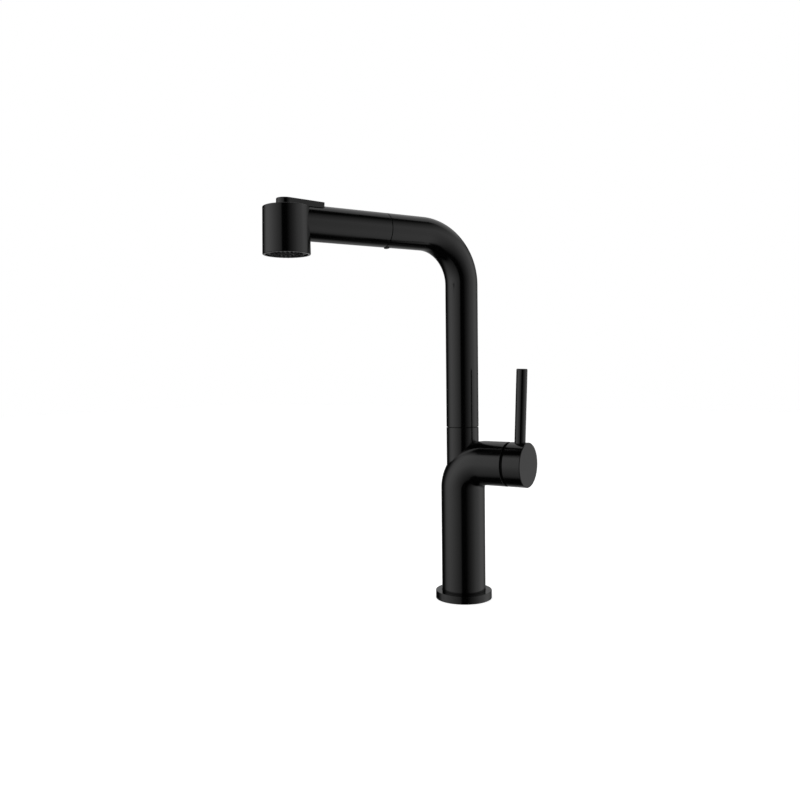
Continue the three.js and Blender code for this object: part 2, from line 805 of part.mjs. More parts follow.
function capScrewBody() {
  const { reach, radius } = capScrew;
  const screw = rod(radius, -16, -spindleRadius - 0.25, smallSides);
  const socket = rod(1.15, -16 - overshoot, -13.5, 6);
  return cut(screw, socket).translate([reach, 0, 0]);
}

// ---- Assembly ------------------------------------------------------------------------------------------

const faucet = new THREE.Group();

faucet.add(
  mesh("base_flange", satinBlack, baseFlange()),
  mesh("base_gasket", blackRubber, baseGasket()),
  mesh("threaded_shank", brass, shank()),
  ...fixingPieces(),
  mesh("hose_guide", blackPlastic, hoseGuide()),
  mesh("hose_tail", brass, hoseTail()),
  mesh("body_shell", satinBlack, bodyShell()),
  mesh("valve_block", brass, valveBlock()),
  ...ways.map(nipple),
  ...swivelPieces(),
);

const handleAxis = new THREE.Group();
handleAxis.position.z = handleHeight;
handleAxis.add(
  mesh("cartridge_base", blackPlastic, cartridgeBase()),
  ...ways.map(portSeal),
  mesh("fixed_disc", ceramic, fixedDisc()),
  mesh("moving_disc", ceramic, movingDisc()),
  mesh("cartridge_housing", whitePlastic, cartridgeHousing()),
  mesh("cartridge_nut", brass, cartridgeNut()),
  mesh("spindle_carrier", whitePlastic, carrier()),
  mesh("spindle_pin", steel, spindlePinBody()),
  mesh("spindle", steel, spindle()),
  mesh("dome_cover", satinBlack, domeCover()),
  mesh("handle_cap", satinBlack, handleCap()),
  mesh("lever_rod", satinBlack, leverRod()),
  mesh("cap_screw", steel, capScrewBody()),
);
faucet.add(handleAxis);

const spout = new THREE.Group();
spout.rotation.z = degrees(spoutTurn - 90);
spout.add(
  mesh("spout_tube", satinBlack, spoutTube()),
  mesh("swivel_sleeve", brass, swivelSleeve()),
  mesh("docking_collar", blackPlastic, dockingCollar()),
  mesh("pullout_hose", greyBraid, pulloutHose()),
  mesh("head_shell", satinBlack, headShell()),
  mesh("docking_tenon", blackPlastic, dockingTenon()),
  mesh("hose_ferrule", steel, hoseFerrule().translate([0, 0, armHeight])),
  mesh("hose_nut", brass, hoseNut().translate([0, 0, armHeight])),
  mesh("hose_seal", blackRubber, hoseSeal().translate([0, 0, armHeight])),
  mesh("waterway", whitePlastic, waterway()),
  mesh("check_valve", blackPlastic, checkValve()),
  mesh("diverter_stem", blackPlastic, diverterStem()),
  mesh("flow_divider", whitePlastic, flowDivider()),
  mesh("nozzle_mat", blackRubber, nozzleMat()),
  mesh("nozzle_plate", blackPlastic, nozzlePlate()),
  mesh("aerator", blackPlastic, aerator()),
  mesh("button_plate", satinBlack, buttonPlate()),
  mesh("button_pin", steel, buttonPin()),
  mesh("button_spring", steel, buttonSpring()),
);
faucet.add(spout);

export default faucet;
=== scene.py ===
import json
import math

import bpy
from mathutils import Matrix, Vector


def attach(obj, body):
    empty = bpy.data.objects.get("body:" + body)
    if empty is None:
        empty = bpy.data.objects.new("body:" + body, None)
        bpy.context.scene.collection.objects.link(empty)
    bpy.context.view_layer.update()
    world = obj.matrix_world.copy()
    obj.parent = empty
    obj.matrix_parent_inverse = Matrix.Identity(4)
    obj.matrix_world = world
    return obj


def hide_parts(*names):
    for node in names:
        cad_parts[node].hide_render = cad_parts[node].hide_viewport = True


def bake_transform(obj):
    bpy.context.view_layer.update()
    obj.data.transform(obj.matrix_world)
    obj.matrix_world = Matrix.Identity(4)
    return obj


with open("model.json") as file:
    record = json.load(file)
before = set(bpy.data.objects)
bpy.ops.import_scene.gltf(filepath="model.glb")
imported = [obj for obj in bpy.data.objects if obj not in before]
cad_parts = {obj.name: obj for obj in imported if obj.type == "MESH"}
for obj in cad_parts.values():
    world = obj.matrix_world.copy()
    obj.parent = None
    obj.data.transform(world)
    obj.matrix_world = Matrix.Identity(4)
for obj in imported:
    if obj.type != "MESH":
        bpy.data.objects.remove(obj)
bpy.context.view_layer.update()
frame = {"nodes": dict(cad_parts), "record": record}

mm = 0.001
past = 1  # millimetres that a cutter runs past the face it cuts
farPast = 5  # the same, for the large bores
near = 0.01  # millimetres within which a point counts as being at a place
slotOfNode = {row["node"]: row["material_slot"] for row in frame["record"]["subparts"]}
bpy.context.scene.view_settings.view_transform = "Standard"
print("frame loaded:", len(frame["nodes"]), "nodes")


# where the camera stands and looks, the light round the object, and the ceiling lamp
view = {
    "place": (0.3864, -0.7257, 0.2259),
    "heading": (-0.5354, 0.8446),
    "down": 1.88,  # degrees
    "roll": -0.62,  # degrees
    "lens": 36.98,
}


def addCamera():
    bpy.ops.object.camera_add(location=view["place"])
    camera = bpy.context.object
    camera.name = "studioCamera"
    level = Vector((*view["heading"], 0)).normalized()
    down = math.radians(view["down"])
    forward = level * math.cos(down) - Vector((0, 0, math.sin(down)))
    right = forward.cross(Vector((0, 0, 1))).normalized()
    up = right.cross(forward)
    roll = math.radians(view["roll"])
    across = right * math.cos(roll) + up * math.sin(roll)
    upward = up * math.cos(roll) - right * math.sin(roll)
    turn = Matrix((across, upward, -forward)).transposed()
    camera.rotation_euler = turn.to_euler()
    camera.data.lens = view["lens"]
    camera.data.clip_start = 0.01
    bpy.context.scene.camera = camera


addCamera()


def addNode(tree, kind, values=None, **settings):
    node = tree.nodes.new(kind)
    for key, value in settings.items():
        setattr(node, key, value)
    for key, value in (values or {}).items():
        node.inputs[key].default_value = value
    return node


def mathNode(tree, operation, first, second=0.0, third=0.0, clamp=False):
    node = addNode(tree, "ShaderNodeMath", operation=operation, use_clamp=clamp)
    for index, value in enumerate((first, second, third)):
        if isinstance(value, (int, float)):
            node.inputs[index].default_value = value
        else:
            tree.links.new(value, node.inputs[index])
    return node.outputs[0]


def rampNode(tree, factor, stops):
    node = addNode(tree, "ShaderNodeValToRGB")
    ramp = node.color_ramp.elements
    while len(ramp) < len(stops):
        ramp.new(0.5)
    for element, (place, value) in zip(ramp, stops):
        element.position = place
        element.color = value if isinstance(value, tuple) else (value, value, value, 1)
    tree.links.new(factor, node.inputs["Fac"])
    return node.outputs["Color"]


studio = {
    # how bright the soft boxes round the object are, by degrees from the camera's side, left to right,
    # at most 32 of them, and the level that the ramp's full white stands for
    "ring": [(-180, 0.5), (-168, 0.3), (-159, 0.02), (-145, 0.01), (-130, 0.02), (-118, 0.25), (-104, 0.8),
             (-85, 1.14), (-66, 1.04), (-48, 0.8), (-25, 0.46), (-17, 0.32), (-12.5, 0.0), (8, 0.0),
             (15, 0.04), (33, 0.23), (48, 0.45), (64, 0.74), (82, 0.86), (98, 0.96), (115, 0.68),
             (130, 0.3), (142, 0.17), (156, 0.04), (167, 0.3), (180, 0.5)],
    "ringWhite": 1.2,
    # degrees above the horizon where the boxes' light ends, and over how many degrees it fades to that
    "leftTop": 50,
    "leftTopFade": 17,
    "rightTop": 54,
    "rightTopFade": 36,
    # the share of the boxes' light that is left below the horizon, by degrees
    "leftBottom": [(-60, 0.0), (-54, 0.2), (-45, 0.38), (-33, 0.52), (-20, 0.7), (-8, 0.9), (0, 1.0)],
    "rightBottom": [(-63, 0.0), (-60, 0.12), (-55, 0.5), (-49, 0.75), (-39, 0.9), (-26, 1.0)],
    # the box overhead and behind: its level, how far it leans back, how sharply it starts,
    # and its lower edge and that edge's fade in degrees
    "back": {"level": 0.62, "lean": 0.17, "gain": 14, "foot": 20, "fade": 12},
    "fill": 0.001,  # light from everywhere
    "white": 1.0,  # what the camera sees
}


def addWorld():
    world = bpy.data.worlds.new("studioWorld")
    bpy.context.scene.world = world
    world.use_nodes = True
    tree = world.node_tree
    tree.nodes.clear()
    way = addNode(tree, "ShaderNodeTexCoord").outputs["Generated"]

    def along(direction):
        dot = addNode(tree, "ShaderNodeVectorMath", operation="DOT_PRODUCT")
        dot.inputs[1].default_value = direction
        tree.links.new(way, dot.inputs[0])
        return dot.outputs["Value"]

    ahead = Vector((*view["heading"], 0)).normalized()
    side = ahead.cross(Vector((0, 0, 1)))
    towards, across, upward = along(-ahead), along(side), along((0, 0, 1))
    turn = mathNode(tree, "ARCTAN2", across, towards)
    place = mathNode(tree, "MULTIPLY_ADD", turn, 0.5 / math.pi, 0.5)
    white = studio["ringWhite"]
    stops = [((angle + 180) / 360, level / white) for angle, level in studio["ring"]]
    ringLight = rampNode(tree, place, stops)
    rise = mathNode(tree, "MULTIPLY", mathNode(tree, "ARCSINE", upward), 180 / math.pi)
    onLeft = mathNode(tree, "LESS_THAN", across, 0.0)

    def fade(top, softness):
        return mathNode(tree, "DIVIDE", mathNode(tree, "SUBTRACT", top, rise), softness, clamp=True)

    leftTop = fade(studio["leftTop"], studio["leftTopFade"])
    rightTop = fade(studio["rightTop"], studio["rightTopFade"])
    tops = mathNode(tree, "ADD", mathNode(tree, "MULTIPLY", leftTop, onLeft),
                    mathNode(tree, "MULTIPLY", rightTop, mathNode(tree, "SUBTRACT", 1.0, onLeft)))
    drop = mathNode(tree, "MULTIPLY_ADD", rise, 1 / 90, 1.0)
    leftBottom, rightBottom = [
        rampNode(tree, drop, [(1 + angle / 90, level) for angle, level in studio[name]])
        for name in ("leftBottom", "rightBottom")]
    bottoms = mathNode(tree, "ADD", mathNode(tree, "MULTIPLY", leftBottom, onLeft),
                       mathNode(tree, "MULTIPLY", rightBottom, mathNode(tree, "SUBTRACT", 1.0, onLeft)))
    sides = mathNode(tree, "MULTIPLY", mathNode(tree, "MULTIPLY", tops, bottoms), ringLight)
    sides = mathNode(tree, "MULTIPLY", sides, white)
    # the box overhead starts a little behind the object and ends well above the horizon
    box = studio["back"]
    back = mathNode(tree, "SUBTRACT", mathNode(tree, "MULTIPLY", upward, -box["lean"]), towards)
    back = mathNode(tree, "MULTIPLY", back, box["gain"], clamp=True)
    high = mathNode(tree, "DIVIDE", mathNode(tree, "SUBTRACT", rise, box["foot"]), box["fade"], clamp=True)
    overhead = mathNode(tree, "MULTIPLY", mathNode(tree, "MULTIPLY", back, high), box["level"])
    light = mathNode(tree, "ADD", mathNode(tree, "MAXIMUM", sides, overhead), studio["fill"])
    seen = addNode(tree, "ShaderNodeLightPath").outputs["Is Camera Ray"]
    lit = addNode(tree, "ShaderNodeBackground")
    tree.links.new(light, lit.inputs["Strength"])
    plain = addNode(tree, "ShaderNodeBackground", {"Strength": studio["white"]})
    lit.inputs["Color"].default_value = plain.inputs["Color"].default_value = (1, 1, 1, 1)
    mix = addNode(tree, "ShaderNodeMixShader")
    tree.links.new(seen, mix.inputs["Fac"])
    tree.links.new(lit.outputs[0], mix.inputs[1])
    tree.links.new(plain.outputs[0], mix.inputs[2])
    out = addNode(tree, "ShaderNodeOutputWorld")
    tree.links.new(mix.outputs[0], out.inputs["Surface"])


addWorld()

lamp = {"place": (0.25, -0.15, 1.6), "size": 1.4, "power": 9}


def addLamp():
    bpy.ops.object.light_add(type="AREA", location=lamp["place"])
    light = bpy.context.object
    light.name = "ceilingLamp"
    light.data.size = lamp["size"]
    light.data.energy = lamp["power"]
    light.visible_glossy = False
    light.visible_camera = False


addLamp()
print("camera and light ready")


# the effects that the finishes share
def newGroup(name, inputs, outputs):
    tree = bpy.data.node_groups.new(name, "ShaderNodeTree")
    for label, value in inputs.items():
        kind = "NodeSocketColor" if isinstance(value, tuple) else "NodeSocketFloat"
        socket = tree.interface.new_socket(name=label, in_out="INPUT", socket_type=kind)
        socket.default_value = value
    for label, kind in outputs.items():
        tree.interface.new_socket(name=label, in_out="OUTPUT", socket_type="NodeSocket" + kind)
    return tree, addNode(tree, "NodeGroupInput").outputs, addNode(tree, "NodeGroupOutput").inputs


def noiseNode(tree, coordinates, scale, detail=2.0, roughness=0.5):
    node = addNode(tree, "ShaderNodeTexNoise", {"Detail": detail, "Roughness": roughness})
    tree.links.new(coordinates, node.inputs["Vector"])
    if isinstance(scale, (int, float)):
        node.inputs["Scale"].default_value = scale
    else:
        tree.links.new(scale, node.inputs["Scale"])
    return node.outputs["Fac"]


def mixColor(tree, factor, first, second):
    node = addNode(tree, "ShaderNodeMix", data_type="RGBA")
    for value, index in ((factor, 0), (first, 6), (second, 7)):
        if isinstance(value, (int, float, tuple)):
            node.inputs[index].default_value = value
        else:
            tree.links.new(value, node.inputs[index])
    return node.outputs[2]


grain = {"coarser": 0.31, "cloudScale": 24.0, "speckStart": 0.56, "speckGain": 5.0, "fineShare": 0.6}


def buildGrainGroup():
    # fine speckle of a sprayed or moulded skin, with slow cloudiness in its gloss
    tree, source, result = newGroup(
        "fineGrain",
        {"Color": (0.01, 0.01, 0.01, 1), "Speck Color": (0.02, 0.02, 0.02, 1), "Grain Size": 0.0004,
         "Specks": 0.5, "Roughness": 0.3, "Unevenness": 0.05},
        {"Color": "Color", "Roughness": "Float", "Height": "Float"},
    )
    place = addNode(tree, "ShaderNodeTexCoord").outputs["Object"]
    scale = mathNode(tree, "DIVIDE", 1.0, source["Grain Size"])
    fine = noiseNode(tree, place, scale, detail=3.0, roughness=0.65)
    coarse = noiseNode(tree, place, mathNode(tree, "MULTIPLY", scale, grain["coarser"]), detail=2.0)
    cloud = noiseNode(tree, place, grain["cloudScale"], detail=4.0, roughness=0.6)
    bright = mathNode(tree, "SUBTRACT", fine, grain["speckStart"])
    bright = mathNode(tree, "MULTIPLY", bright, grain["speckGain"], clamp=True)
    specks = mathNode(tree, "MULTIPLY", bright, source["Specks"], clamp=True)
    tree.links.new(mixColor(tree, specks, source["Color"], source["Speck Color"]), result["Color"])
    uneven = mathNode(tree, "ADD", mathNode(tree, "MULTIPLY", mathNode(tree, "SUBTRACT", cloud, 0.5), 2.0),
                      mathNode(tree, "SUBTRACT", fine, 0.5))
    rough = mathNode(tree, "MULTIPLY_ADD", uneven, source["Unevenness"], source["Roughness"])
    tree.links.new(rough, result["Roughness"])
    height = mathNode(tree, "ADD", mathNode(tree, "MULTIPLY", fine, grain["fineShare"]),
                      mathNode(tree, "MULTIPLY", coarse, 1 - grain["fineShare"]))
    tree.links.new(height, result["Height"])
    return tree


machining = {"flatten": (0.06, 0.06, 1.0), "stainScale": 90.0, "stainStart": 0.45, "stainGain": 4.0,
             "stainRoughness": 0.25, "markRoughness": 0.2}


def buildMachinedGroup():
    # fine level tool marks, with a little tarnish
    tree, source, result = newGroup(
        "machinedMetal",
        {"Color": (0.6, 0.45, 0.2, 1), "Tarnish Color": (0.3, 0.2, 0.08, 1), "Mark Spacing": 0.0004,
         "Tarnish": 0.3, "Roughness": 0.3},
        {"Color": "Color", "Roughness": "Float", "Height": "Float"},
    )
    place = addNode(tree, "ShaderNodeTexCoord").outputs["Object"]
    stretch = addNode(tree, "ShaderNodeMapping")
    stretch.inputs["Scale"].default_value = machining["flatten"]
    tree.links.new(place, stretch.inputs["Vector"])
    scale = mathNode(tree, "DIVIDE", 1.0, source["Mark Spacing"])
    marks = noiseNode(tree, stretch.outputs[0], scale, detail=3.0, roughness=0.6)
    stain = noiseNode(tree, place, machining["stainScale"], detail=5.0, roughness=0.6)
    stained = mathNode(tree, "SUBTRACT", stain, machining["stainStart"])
    stained = mathNode(tree, "MULTIPLY", stained, machining["stainGain"], clamp=True)
    amount = mathNode(tree, "MULTIPLY", stained, source["Tarnish"])
    tree.links.new(mixColor(tree, amount, source["Color"], source["Tarnish Color"]), result["Color"])
    rough = mathNode(tree, "MULTIPLY", amount, machining["stainRoughness"])
    rough = mathNode(tree, "ADD", source["Roughness"], rough)
    uneven = mathNode(tree, "SUBTRACT", marks, 0.5)
    rough = mathNode(tree, "MULTIPLY_ADD", uneven, machining["markRoughness"], rough)
    tree.links.new(rough, result["Roughness"])
    tree.links.new(marks, result["Height"])
    return tree


grainGroup = buildGrainGroup()
machinedGroup = buildMachinedGroup()


def newMaterial(name, group, values, bump, distance, shader=None):
    material = bpy.data.materials.new(name)
    material.use_nodes = True
    tree = material.node_tree
    principled = tree.nodes["Principled BSDF"]
    effect = addNode(tree, "ShaderNodeGroup", node_tree=group)
    for label, value in values.items():
        effect.inputs[label].default_value = value
    tree.links.new(effect.outputs["Color"], principled.inputs["Base Color"])
    tree.links.new(effect.outputs["Roughness"], principled.inputs["Roughness"])
    relief = addNode(tree, "ShaderNodeBump", {"Strength": bump, "Distance": distance})
    tree.links.new(effect.outputs["Height"], relief.inputs["Height"])
    tree.links.new(relief.outputs["Normal"], principled.inputs["Normal"])
    for label, value in (shader or {}).items():
        principled.inputs[label].default_value = value
    material.diffuse_color = values["Color"]
    return material


def grey(level, warmth=0.0):
    return (level * (1 + warmth), level, level * (1 - warmth), 1)


finishes = {
    "satin_black": newMaterial("satinBlackCoat", grainGroup, {
        "Color": grey(0.0008), "Speck Color": grey(0.004), "Grain Size": 0.0004, "Specks": 0.6,
        "Roughness": 0.14, "Unevenness": 0.02}, 0.05, 0.00002),
    "black_plastic": newMaterial("mouldedBlackPlastic", grainGroup, {
        "Color": grey(0.005), "Speck Color": grey(0.009), "Grain Size": 0.0007, "Specks": 0.5,
        "Roughness": 0.45, "Unevenness": 0.06}, 0.25, 0.00005),
    "black_rubber": newMaterial("softBlackRubber", grainGroup, {
        "Color": grey(0.005), "Speck Color": grey(0.014), "Grain Size": 0.0009, "Specks": 0.35,
        "Roughness": 0.62, "Unevenness": 0.1}, 0.3, 0.00006),
    "white_plastic": newMaterial("naturalAcetal", grainGroup, {
        "Color": grey(0.72, 0.03), "Speck Color": grey(0.6, 0.05), "Grain Size": 0.0012, "Specks": 0.4,
        "Roughness": 0.4, "Unevenness": 0.05}, 0.2, 0.00004),
    "ceramic": newMaterial("lappedCeramic", grainGroup, {
        "Color": grey(0.8, 0.02), "Speck Color": grey(0.62, 0.04), "Grain Size": 0.0003, "Specks": 0.3,
        "Roughness": 0.16, "Unevenness": 0.03}, 0.05, 0.00002),
    "brass": newMaterial("turnedBrass", machinedGroup, {
        "Color": (0.66, 0.45, 0.17, 1), "Tarnish Color": (0.34, 0.2, 0.07, 1), "Mark Spacing": 0.0005,
        "Tarnish": 0.45, "Roughness": 0.28}, 0.2, 0.00004, {"Metallic": 1.0}),
    "steel": newMaterial("brightSteel", machinedGroup, {
        "Color": grey(0.58, -0.01), "Tarnish Color": grey(0.36, 0.02), "Mark Spacing": 0.0003,
        "Tarnish": 0.3, "Roughness": 0.25}, 0.15, 0.00003, {"Metallic": 1.0}),
}


braid = {"strands": 14.0, "pitch": 0.041, "dip": 0.45, "fleckScale": 1600.0, "relief": 0.0004}


def buildBraid():
    # two sets of strands crossing over and under, on the hose's own UV map
    material = bpy.data.materials.new("greyHoseBraid")
    material.use_nodes = True
    tree = material.node_tree
    principled = tree.nodes["Principled BSDF"]
    spot = addNode(tree, "ShaderNodeSeparateXYZ")
    tree.links.new(addNode(tree, "ShaderNodeUVMap", uv_map="hoseWrap").outputs["UV"], spot.inputs[0])
    along, around = spot.outputs["X"], spot.outputs["Y"]

    def strand(sign):
        climb = mathNode(tree, "MULTIPLY", along, braid["strands"] / braid["pitch"])
        turn = mathNode(tree, "MULTIPLY_ADD", around, sign * braid["strands"], climb)
        wave = mathNode(tree, "SINE", mathNode(tree, "MULTIPLY", turn, math.pi))
        return mathNode(tree, "ABSOLUTE", wave), turn

    one, oneTurn = strand(1)
    two, twoTurn = strand(-1)
    cross = mathNode(tree, "ADD", mathNode(tree, "FLOOR", oneTurn), mathNode(tree, "FLOOR", twoTurn))
    over = mathNode(tree, "PINGPONG", cross, 1.0)
    dip = braid["dip"]
    oneHeight = mathNode(tree, "MULTIPLY", one, mathNode(tree, "MULTIPLY_ADD", over, dip, 1 - dip))
    twoHeight = mathNode(tree, "MULTIPLY", two, mathNode(tree, "MULTIPLY_ADD", over, -dip, 1.0))
    height = mathNode(tree, "MAXIMUM", oneHeight, twoHeight)
    place = addNode(tree, "ShaderNodeTexCoord").outputs["Object"]
    fleck = noiseNode(tree, place, braid["fleckScale"], detail=3.0)
    shade = mathNode(tree, "MULTIPLY", mathNode(tree, "MULTIPLY_ADD", fleck, 0.5, 0.75), height, clamp=True)
    tint = rampNode(tree, shade, [(0.2, grey(0.008)), (0.6, grey(0.11, 0.02)), (1.0, grey(0.24, 0.02))])
    tree.links.new(tint, principled.inputs["Base Color"])
    tree.links.new(mathNode(tree, "MULTIPLY_ADD", shade, -0.2, 0.62), principled.inputs["Roughness"])
    relief = addNode(tree, "ShaderNodeBump", {"Strength": 0.8, "Distance": braid["relief"]})
    tree.links.new(height, relief.inputs["Height"])
    tree.links.new(relief.outputs["Normal"], principled.inputs["Normal"])
    return material


finishes["hose_braid"] = buildBraid()

for nodeName, node in frame["nodes"].items():
    node.data.materials.clear()
    node.data.materials.append(finishes[slotOfNode[nodeName]])
print("finishes ready:", ", ".join(finishes))


# tools that the pieces are modelled with
def deselectAll():
    if bpy.context.mode != "OBJECT":
        bpy.ops.object.mode_set(mode="OBJECT")
    bpy.ops.object.select_all(action="DESELECT")
    bpy.context.tool_settings.mesh_select_mode = (True, False, False)


def useOnly(piece):
    deselectAll()
    piece.select_set(True)
    bpy.context.view_layer.objects.active = piece


def editAll(piece):
    useOnly(piece)
    bpy.ops.object.mode_set(mode="EDIT")
    bpy.ops.mesh.select_all(action="SELECT")


def named(name):
    piece = bpy.context.object
    piece.name = piece.data.name = name
    return piece


def cleaned(piece):
    # doubles merged, normals outwards
    editAll(piece)
    bpy.ops.mesh.remove_doubles(threshold=0.000002)
    bpy.ops.mesh.normals_make_consistent(inside=False)
    bpy.ops.object.mode_set(mode="OBJECT")
    return piece


def extrudeBy(x, y, z):
    bpy.ops.mesh.extrude_region_move(TRANSFORM_OT_translate={"value": (x * mm, y * mm, z * mm)})


def selectPart(piece, kind, test):
    # selects the points, edges or faces for which test is true, and stays in edit mode
    useOnly(piece)
    kinds = ("vertices", "edges", "polygons")
    bpy.context.tool_settings.mesh_select_mode = [kind == other for other in kinds]
    bpy.ops.object.mode_set(mode="EDIT")
    bpy.ops.mesh.select_all(action="DESELECT")
    bpy.ops.object.mode_set(mode="OBJECT")
    points = piece.data.vertices
    for item in getattr(piece.data, kind):
        if kind == "edges":
            item.select = test(*[points[i].co / mm for i in item.vertices])
        elif kind == "polygons":
            item.select = test(item.center / mm, item.normal)
        else:
            item.select = test(item.co / mm)
    bpy.ops.object.mode_set(mode="EDIT")


def applyModifier(piece, kind, **settings):
    useOnly(piece)
    modifier = piece.modifiers.new("work", kind)
    for key, value in settings.items():
        setattr(modifier, key, value)
    bpy.ops.object.modifier_apply(modifier=modifier.name)
    return piece


def soften(piece, width, segments=3, angle=40):
    return applyModifier(piece, "BEVEL", width=width * mm, segments=segments, limit_method="ANGLE",
                         angle_limit=math.radians(angle), use_clamp_overlap=True, miter_outer="MITER_ARC")


def bevelEdges(piece, width, segments, test):
    selectPart(piece, "edges", test)
    bpy.ops.mesh.bevel(offset=width * mm, segments=segments, affect="EDGES")
    bpy.ops.object.mode_set(mode="OBJECT")


def combine(piece, tool, operation="DIFFERENCE"):
    applyModifier(piece, "BOOLEAN", operation=operation, object=tool, solver="EXACT")
    bpy.data.objects.remove(tool)
    return piece


def joinPieces(first, *others):
    useOnly(first)
    for other in others:
        other.select_set(True)
    bpy.ops.object.join()
    return first


def moved(piece, matrix):
    useOnly(piece)
    piece.matrix_world = matrix @ piece.matrix_world
    bpy.ops.object.transform_apply(location=True, rotation=True, scale=True)
    return piece


def turned(name, profile, steps=96):
    # an outline of (radius, height) in millimetres, spun round the Z axis
    deselectAll()
    bpy.ops.mesh.primitive_plane_add(size=mm, location=(0, 0, 0))
    piece = named(name)
    bpy.ops.object.mode_set(mode="EDIT")
    bpy.ops.mesh.select_all(action="SELECT")
    bpy.ops.mesh.merge(type="CENTER")
    bpy.ops.transform.translate(value=(profile[0][0] * mm, 0, profile[0][1] * mm))
    for before, after in zip(profile, profile[1:]):
        extrudeBy(after[0] - before[0], 0, after[1] - before[1])
    bpy.ops.mesh.select_all(action="SELECT")
    bpy.ops.mesh.remove_doubles(threshold=0.0000005)
    bpy.ops.mesh.select_all(action="SELECT")
    bpy.ops.mesh.spin(steps=steps, angle=2 * math.pi, center=(0, 0, 0), axis=(0, 0, 1))
    return cleaned(piece)


def ringPiece(name, inner, outer, bottom, top, steps=96):
    outline = [(inner, bottom), (outer, bottom), (outer, top), (inner, top), (inner, bottom)]
    return turned(name, outline, steps)


def rodPiece(name, radius, bottom, top, steps=96):
    return turned(name, [(0, bottom), (radius, bottom), (radius, top), (0, top)], steps)


def blockPiece(name, low, high):
    deselectAll()
    bpy.ops.mesh.primitive_cube_add(size=1)
    piece = named(name)
    size = [(b - a) * mm for a, b in zip(low, high)]
    middle = [(a + b) / 2 * mm for a, b in zip(low, high)]
    return moved(piece, Matrix.Translation(middle) @ Matrix.Diagonal((*size, 1)))


def bentPiece(name, radius, foot, bend, height, reach, capped=True, sides=96, steps=32):
    # a bar that rises along Z, bends once and runs on along X
    deselectAll()
    bpy.ops.mesh.primitive_circle_add(vertices=sides, radius=radius * mm, location=(0, 0, foot * mm))
    piece = named(name)
    moved(piece, Matrix.Identity(4))
    editAll(piece)
    extrudeBy(0, 0, height - bend - foot)
    middle = (bend * mm, 0, (height - bend) * mm)
    bpy.ops.mesh.spin(steps=steps, angle=math.pi / 2, center=middle, axis=(0, -1, 0))
    extrudeBy(reach - bend, 0, 0)
    if capped:
        bpy.ops.mesh.select_all(action="SELECT")
        bpy.ops.mesh.fill_holes(sides=0)
    return cleaned(piece)


def arcPoints(radius, centre, start, end, steps):
    # start and end are degrees from the axis
    return [(radius * math.sin(math.radians(a)), centre + radius * math.cos(math.radians(a)))
            for a in (start + (end - start) * i / steps for i in range(steps + 1))]


def at(x, z):
    return Matrix.Translation((x * mm, 0, z * mm))


def along(x, z):
    # lays a piece that was turned round Z along X, at a height
    return at(x, z) @ Matrix.Rotation(math.pi / 2, 4, "Y")


def pinTurn(x, z):
    # lays a pin that was turned round Z across the faucet
    return at(x, z) @ Matrix.Rotation(math.pi / 2, 4, "X")


def smoothed(piece, angle=40):
    # large faces keep their own direction, and the small faces of an edge turn between them
    useOnly(piece)
    bpy.ops.object.shade_smooth_by_angle(angle=math.radians(angle))
    applyModifier(piece, "WEIGHTED_NORMAL", mode="FACE_AREA", weight=100, keep_sharp=True)


def finishPiece(piece, slot, body, *nodes, angle=40):
    smoothed(piece, angle)
    piece.data.materials.clear()
    piece.data.materials.append(finishes[slot])
    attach(piece, body)
    if nodes:
        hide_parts(*nodes)
    print("made", piece.name, len(piece.data.polygons), "faces")
    return piece


# the cover on the deck and what holds the faucet from below
flange = {"radius": 28, "height": 8, "edge": 0.25, "hole": 16.8, "seat": 22.05, "seatDepth": 1,
          "groove": (19, 23), "grooveDepth": 1.6, "gasketGap": 0.3}


def makeFlange():
    f = flange
    inner, outer = f["groove"]
    top = f["height"]
    piece = turned("deckFlange", [
        (f["hole"], 0), (inner, 0), (inner, f["grooveDepth"]), (outer, f["grooveDepth"]), (outer, 0),
        (f["radius"] - f["edge"], 0), (f["radius"], f["edge"]), (f["radius"], top - f["edge"]),
        (f["radius"] - f["edge"], top), (f["seat"], top), (f["seat"], top - f["seatDepth"]),
        (f["hole"], top - f["seatDepth"]), (f["hole"], 0)], steps=128)
    soften(piece, 0.08, segments=2)
    finishPiece(piece, "satin_black", "body", "base_flange")
    gap = f["gasketGap"]
    gasket = ringPiece("deckGasket", inner + gap, outer - gap, 0, f["grooveDepth"] - gap)
    soften(gasket, 0.2)
    finishPiece(gasket, "black_rubber", "body", "base_gasket")


makeFlange()

clamp = {"bore": 16.8, "radius": 26.5, "rubber": (-33, -30), "plate": (-35.1, -33.3), "nut": (-45.4, -35.4),
         "acrossFlats": 44}
shank = {"core": 15.7, "crest": 16.5, "bore": 13.6, "foot": -62, "head": 25.7, "pitch": 1.5,
         "threadTop": -1.5, "edge": 0.6, "footEdge": 0.8, "runOut": 0.4}


def hexPiece(name, acrossFlats, bore, bottom, top, chamfer=0.4, slack=0.1):
    # a hexagon whose corners are turned off by a cone, as on a nut
    deselectAll()
    radius = acrossFlats / math.sqrt(3)
    bpy.ops.mesh.primitive_cylinder_add(vertices=6, radius=radius * mm, depth=(top - bottom) * mm,
                                        location=(0, 0, (top + bottom) / 2 * mm))
    piece = moved(named(name), Matrix.Identity(4))
    flat = acrossFlats / 2 - chamfer
    rise = (radius - flat) * math.tan(math.radians(30))
    wide = radius + slack
    cone = turned(name + "Cone", [(0, bottom), (flat, bottom), (wide, bottom + rise), (wide, top - rise),
                                  (flat, top), (0, top)])
    combine(piece, cone, "INTERSECT")
    if bore:
        combine(piece, rodPiece(name + "Bore", bore, bottom - past, top + past))
    return piece


